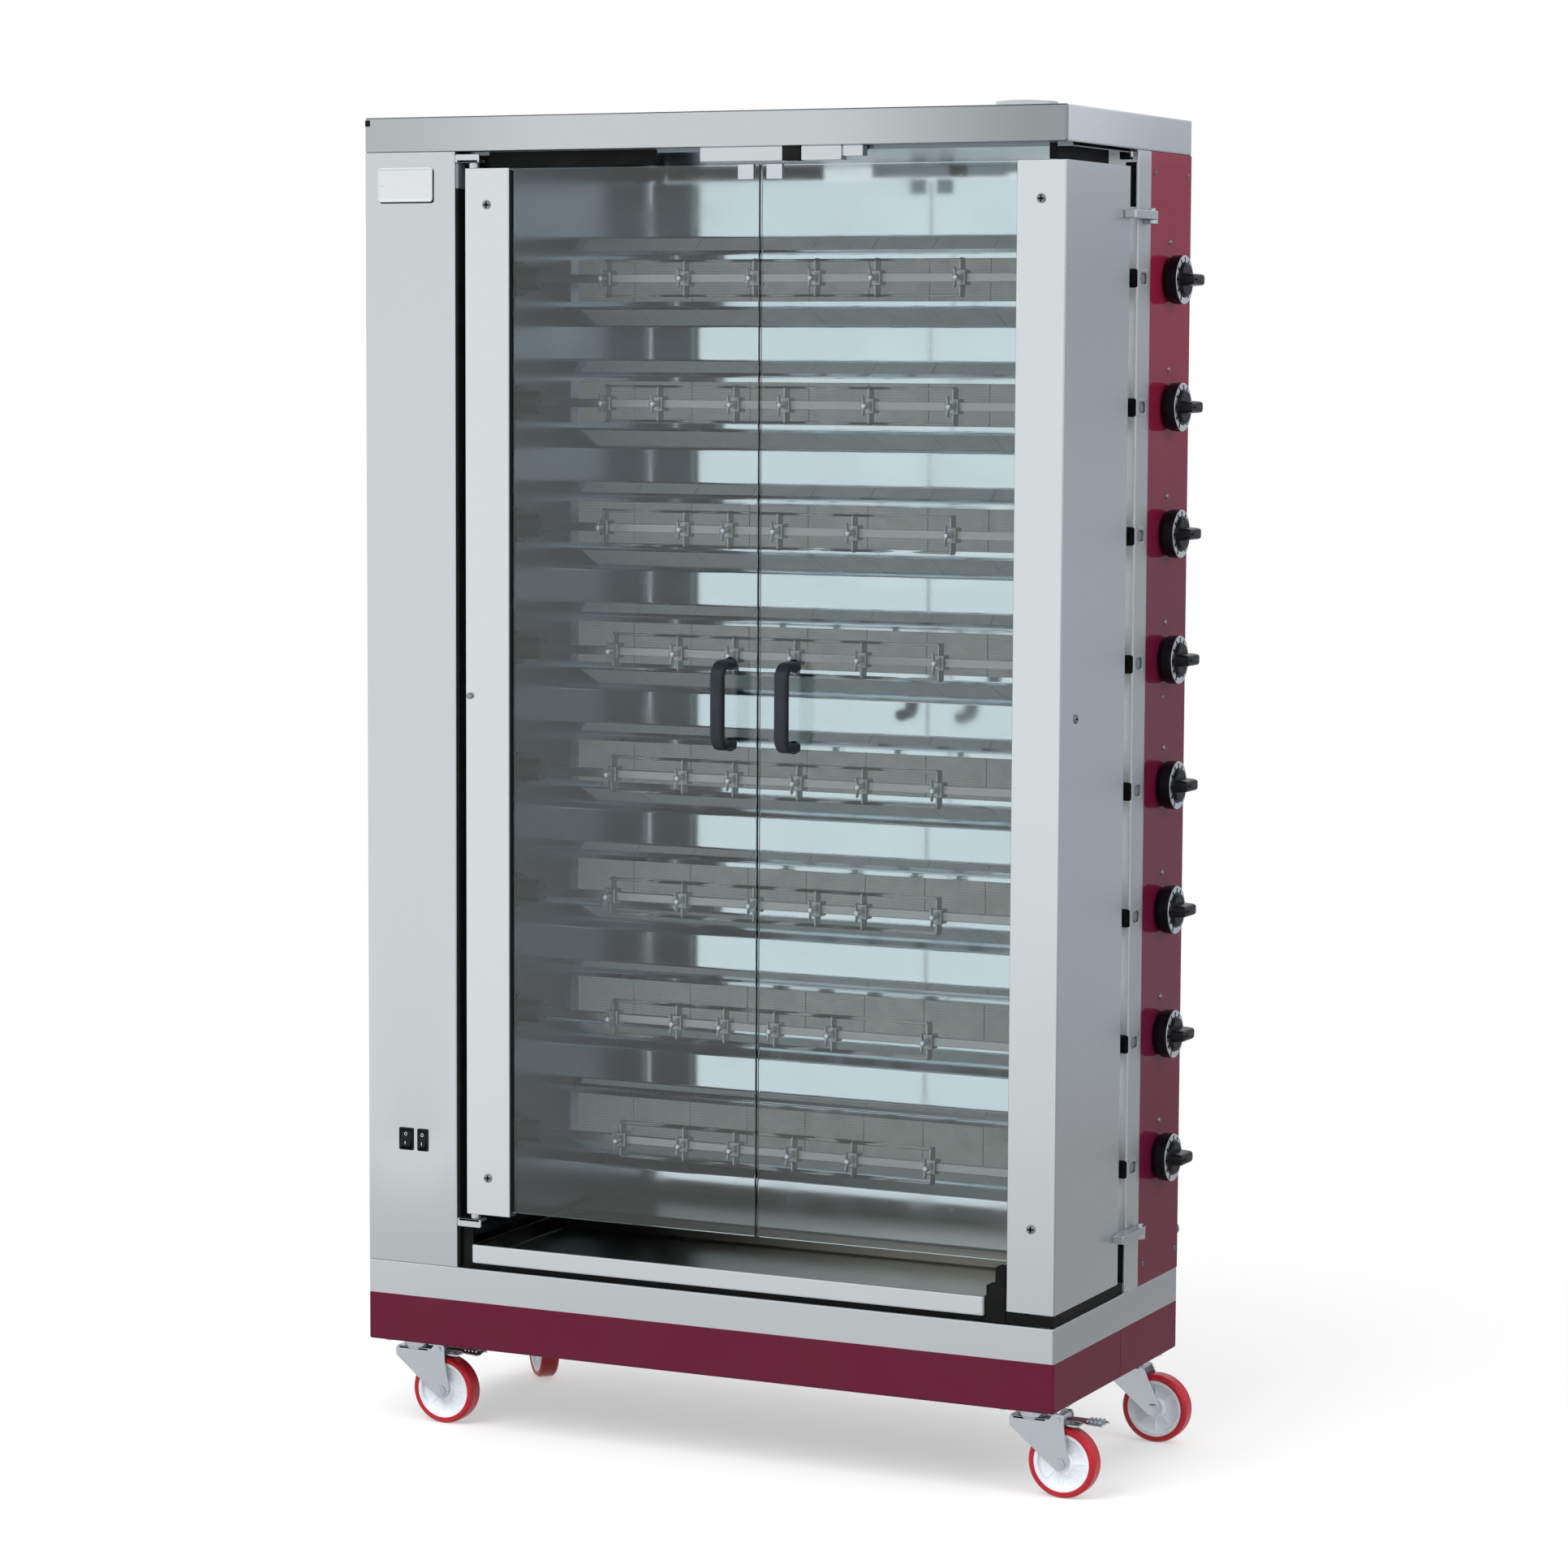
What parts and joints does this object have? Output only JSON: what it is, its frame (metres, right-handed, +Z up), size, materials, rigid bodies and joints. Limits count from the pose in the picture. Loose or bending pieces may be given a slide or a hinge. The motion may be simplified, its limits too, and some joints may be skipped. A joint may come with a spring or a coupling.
{
  "type": "chicken rotisserie",
  "caption": "Tall gas chicken rotisserie on castors: hinged glass doors, levels of spits with sliding forks, ceramic infrared burners, gas knobs, drip tray and canopy.",
  "frame": {"origin": "middle of the overall box at floor level, under the castor wheels", "axes": "+X to the right along the front, +Y to the back, +Z up"},
  "size_m": [1.147, 0.546, 1.942],
  "materials": {
    "stainless": "satin",
    "polished_steel": "polished",
    "burgundy_paint": "satin",
    "glass": "clear",
    "black_plastic": "satin",
    "ceramic": "matt ceramic",
    "aluminised_steel": "dull",
    "spit_steel": "satin",
    "zinc": "zinc plated",
    "brass": "plain",
    "grey_paint": "satin",
    "red_polyurethane": "satin"
  },
  "bodies": {
    "cabinet": {"plinth": "burgundy_paint", "base_band": "stainless", "column_casing": "stainless", "canopy": "stainless", "chamber_liner": "stainless", "back_panel": "stainless", "reflector": "polished_steel", "ceramic_tiles": "ceramic", "burners": "aluminised_steel", "tap_panel": "burgundy_paint", "corner_post": "stainless", "gas_rail": "brass", "drive_unit": "grey_paint", "switch_block": "black_plastic", "flue_collar": "stainless", "fixings": "zinc", "bearing_rail": "zinc"},
    "spit_assembly_1": {"spit_1": "spit_steel", "drive_hub_1": "zinc"},
    "spit_assembly_2": {"spit_2": "spit_steel", "drive_hub_2": "zinc"},
    "spit_assembly_3": {"spit_3": "spit_steel", "drive_hub_3": "zinc"},
    "spit_assembly_4": {"spit_4": "spit_steel", "drive_hub_4": "zinc"},
    "spit_assembly_5": {"spit_5": "spit_steel", "drive_hub_5": "zinc"},
    "spit_assembly_6": {"spit_6": "spit_steel", "drive_hub_6": "zinc"},
    "spit_assembly_7": {"spit_7": "spit_steel", "drive_hub_7": "zinc"},
    "spit_assembly_8": {"spit_8": "spit_steel", "drive_hub_8": "zinc"},
    "knob_1": {"knob_1": "black_plastic"},
    "knob_2": {"knob_2": "black_plastic"},
    "knob_3": {"knob_3": "black_plastic"},
    "knob_4": {"knob_4": "black_plastic"},
    "knob_5": {"knob_5": "black_plastic"},
    "knob_6": {"knob_6": "black_plastic"},
    "knob_7": {"knob_7": "black_plastic"},
    "knob_8": {"knob_8": "black_plastic"},
    "left_door": {"left_door_stile": "stainless", "left_door_glass": "glass", "left_door_handle": "black_plastic"},
    "right_door": {"right_door_frame": "stainless", "right_door_glass": "glass", "right_door_handle": "black_plastic"},
    "rocker_1": {"rocker_1": "black_plastic"},
    "rocker_2": {"rocker_2": "black_plastic"},
    "drip_tray": {"drip_tray": "stainless"},
    "front_left_castor_swivel": {"front_left_castor_fork": "zinc"},
    "front_left_castor_wheel": {"front_left_castor_wheel": "red_polyurethane"},
    "front_left_brake_pedal": {"front_left_brake_pedal": "zinc"},
    "front_right_castor_swivel": {"front_right_castor_fork": "zinc"},
    "front_right_castor_wheel": {"front_right_castor_wheel": "red_polyurethane"},
    "front_right_brake_pedal": {"front_right_brake_pedal": "zinc"},
    "rear_left_castor_swivel": {"rear_left_castor_fork": "zinc"},
    "rear_left_castor_wheel": {"rear_left_castor_wheel": "red_polyurethane"},
    "rear_right_castor_swivel": {"rear_right_castor_fork": "zinc"},
    "rear_right_castor_wheel": {"rear_right_castor_wheel": "red_polyurethane"}
  },
  "joints": [
    {"name": "spit_1_spin", "type": "hinge", "parent": "cabinet", "child": "spit_assembly_1", "pos_m": [0.4635, -0.058, 1.688], "axis": [1, 0, 0], "continuous": true},
    {"name": "spit_2_spin", "type": "hinge", "parent": "cabinet", "child": "spit_assembly_2", "pos_m": [0.4635, -0.058, 1.5077], "axis": [1, 0, 0], "continuous": true},
    {"name": "spit_3_spin", "type": "hinge", "parent": "cabinet", "child": "spit_assembly_3", "pos_m": [0.4635, -0.058, 1.3274], "axis": [1, 0, 0], "continuous": true},
    {"name": "spit_4_spin", "type": "hinge", "parent": "cabinet", "child": "spit_assembly_4", "pos_m": [0.4635, -0.058, 1.1471], "axis": [1, 0, 0], "continuous": true},
    {"name": "spit_5_spin", "type": "hinge", "parent": "cabinet", "child": "spit_assembly_5", "pos_m": [0.4635, -0.058, 0.9668], "axis": [1, 0, 0], "continuous": true},
    {"name": "spit_6_spin", "type": "hinge", "parent": "cabinet", "child": "spit_assembly_6", "pos_m": [0.4635, -0.058, 0.7865], "axis": [1, 0, 0], "continuous": true},
    {"name": "spit_7_spin", "type": "hinge", "parent": "cabinet", "child": "spit_assembly_7", "pos_m": [0.4635, -0.058, 0.6062], "axis": [1, 0, 0], "continuous": true},
    {"name": "spit_8_spin", "type": "hinge", "parent": "cabinet", "child": "spit_assembly_8", "pos_m": [0.4635, -0.058, 0.4259], "axis": [1, 0, 0], "continuous": true},
    {"name": "knob_1_turn", "type": "hinge", "parent": "cabinet", "child": "knob_1", "pos_m": [0.5185, 0.164, 1.688], "axis": [1, 0, 0], "range_deg": [0, 180]},
    {"name": "knob_2_turn", "type": "hinge", "parent": "cabinet", "child": "knob_2", "pos_m": [0.5185, 0.164, 1.5077], "axis": [1, 0, 0], "range_deg": [0, 180]},
    {"name": "knob_3_turn", "type": "hinge", "parent": "cabinet", "child": "knob_3", "pos_m": [0.5185, 0.164, 1.3274], "axis": [1, 0, 0], "range_deg": [0, 180]},
    {"name": "knob_4_turn", "type": "hinge", "parent": "cabinet", "child": "knob_4", "pos_m": [0.5185, 0.164, 1.1471], "axis": [1, 0, 0], "range_deg": [0, 180]},
    {"name": "knob_5_turn", "type": "hinge", "parent": "cabinet", "child": "knob_5", "pos_m": [0.5185, 0.164, 0.9668], "axis": [1, 0, 0], "range_deg": [0, 180]},
    {"name": "knob_6_turn", "type": "hinge", "parent": "cabinet", "child": "knob_6", "pos_m": [0.5185, 0.164, 0.7865], "axis": [1, 0, 0], "range_deg": [0, 180]},
    {"name": "knob_7_turn", "type": "hinge", "parent": "cabinet", "child": "knob_7", "pos_m": [0.5185, 0.164, 0.6062], "axis": [1, 0, 0], "range_deg": [0, 180]},
    {"name": "knob_8_turn", "type": "hinge", "parent": "cabinet", "child": "knob_8", "pos_m": [0.5185, 0.164, 0.4259], "axis": [1, 0, 0], "range_deg": [0, 180]},
    {"name": "left_door_hinge", "type": "hinge", "parent": "cabinet", "child": "left_door", "pos_m": [-0.3985, -0.221, 0.329], "axis": [0, 0, 1], "range_deg": [-110, 0]},
    {"name": "right_door_hinge", "type": "hinge", "parent": "cabinet", "child": "right_door", "pos_m": [0.5257, 0.067, 0.341], "axis": [0, 0, 1], "range_deg": [0, 100]},
    {"name": "rocker_1_tilt", "type": "hinge", "parent": "cabinet", "child": "rocker_1", "pos_m": [-0.509, -0.227, 0.4315], "axis": [1, 0, 0], "range_deg": [0, 16]},
    {"name": "rocker_2_tilt", "type": "hinge", "parent": "cabinet", "child": "rocker_2", "pos_m": [-0.4815, -0.227, 0.4315], "axis": [1, 0, 0], "range_deg": [0, 16]},
    {"name": "drip_tray_slide", "type": "slide", "parent": "cabinet", "child": "drip_tray", "axis": [0, -1, 0], "range_m": [0, 0.25]},
    {"name": "front_left_castor_swivel_turn", "type": "hinge", "parent": "cabinet", "child": "front_left_castor_swivel", "pos_m": [-0.5215, -0.173, 0.1117], "axis": [0, 0, 1], "continuous": true},
    {"name": "front_left_castor_wheel_spin", "type": "hinge", "parent": "front_left_castor_swivel", "child": "front_left_castor_wheel", "pos_m": [-0.4755, -0.173, 0.05], "axis": [0, 1, 0], "continuous": true},
    {"name": "front_left_brake_pedal_press", "type": "hinge", "parent": "front_left_castor_swivel", "child": "front_left_brake_pedal", "pos_m": [-0.4775, -0.173, 0.1122], "axis": [0, 1, 0], "range_deg": [0, 10]},
    {"name": "front_right_castor_swivel_turn", "type": "hinge", "parent": "cabinet", "child": "front_right_castor_swivel", "pos_m": [0.4645, -0.173, 0.1117], "axis": [0, 0, 1], "continuous": true},
    {"name": "front_right_castor_wheel_spin", "type": "hinge", "parent": "front_right_castor_swivel", "child": "front_right_castor_wheel", "pos_m": [0.5105, -0.173, 0.05], "axis": [0, 1, 0], "continuous": true},
    {"name": "front_right_brake_pedal_press", "type": "hinge", "parent": "front_right_castor_swivel", "child": "front_right_brake_pedal", "pos_m": [0.5085, -0.173, 0.1122], "axis": [0, 1, 0], "range_deg": [0, 10]},
    {"name": "rear_left_castor_swivel_turn", "type": "hinge", "parent": "cabinet", "child": "rear_left_castor_swivel", "pos_m": [-0.5215, 0.189, 0.1117], "axis": [0, 0, 1], "continuous": true},
    {"name": "rear_left_castor_wheel_spin", "type": "hinge", "parent": "rear_left_castor_swivel", "child": "rear_left_castor_wheel", "pos_m": [-0.49072, 0.15482, 0.05], "axis": [0.7431, 0.6691, 0], "continuous": true},
    {"name": "rear_right_castor_swivel_turn", "type": "hinge", "parent": "cabinet", "child": "rear_right_castor_swivel", "pos_m": [0.4645, 0.189, 0.1117], "axis": [0, 0, 1], "continuous": true},
    {"name": "rear_right_castor_wheel_spin", "type": "hinge", "parent": "rear_right_castor_swivel", "child": "rear_right_castor_wheel", "pos_m": [0.5105, 0.189, 0.05], "axis": [0, 1, 0], "continuous": true}
  ],
  "couplings": [
    {"joint": "spit_2_spin", "follows": "spit_1_spin", "ratio": 1},
    {"joint": "spit_3_spin", "follows": "spit_1_spin", "ratio": 1},
    {"joint": "spit_4_spin", "follows": "spit_1_spin", "ratio": 1},
    {"joint": "spit_5_spin", "follows": "spit_1_spin", "ratio": 1},
    {"joint": "spit_6_spin", "follows": "spit_1_spin", "ratio": 1},
    {"joint": "spit_7_spin", "follows": "spit_1_spin", "ratio": 1},
    {"joint": "spit_8_spin", "follows": "spit_1_spin", "ratio": 1}
  ]
}
